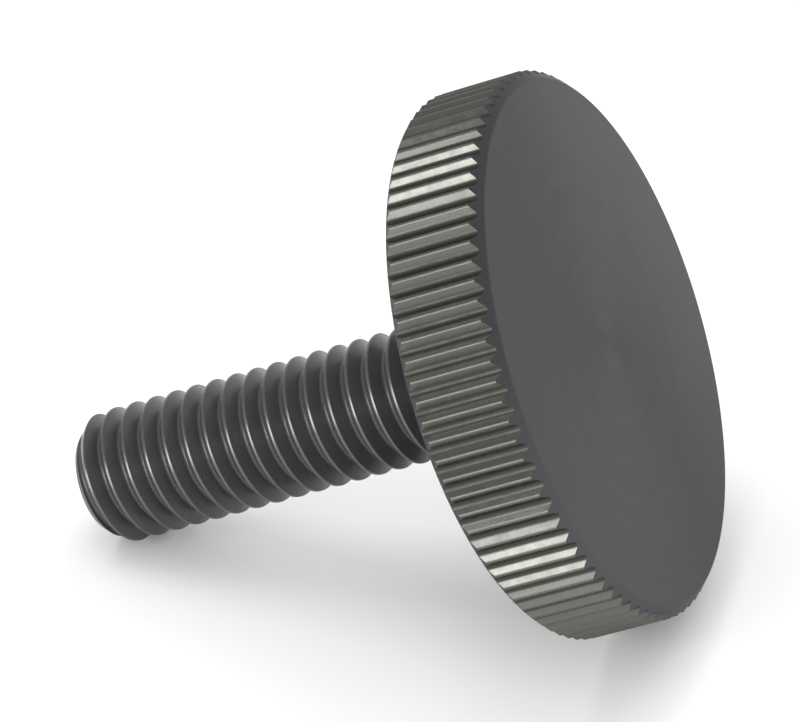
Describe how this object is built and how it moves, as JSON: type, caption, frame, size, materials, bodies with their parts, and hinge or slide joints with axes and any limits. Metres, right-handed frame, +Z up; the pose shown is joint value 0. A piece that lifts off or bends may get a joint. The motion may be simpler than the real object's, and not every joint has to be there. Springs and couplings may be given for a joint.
{
  "type": "knurled thumb screw",
  "caption": "Flat round thumb screw with a straight-knurled rim, a plain turned face and a fully threaded shank, in black-finished steel.",
  "frame": {"origin": "on the floor, at the bottom centre of the screw's bounding box as it lies on its side", "axes": "+Z up; the screw's axis lies in the XZ plane, rising from the tip on the -X side to the head on the +X side; Y is across the screw"},
  "size_m": [0.0282, 0.024, 0.0233],
  "materials": {
    "black_steel": "black-oxide turned steel, semi-matt"
  },
  "bodies": {
    "root": {"thumb_screw": "black_steel"}
  },
  "joints": []
}
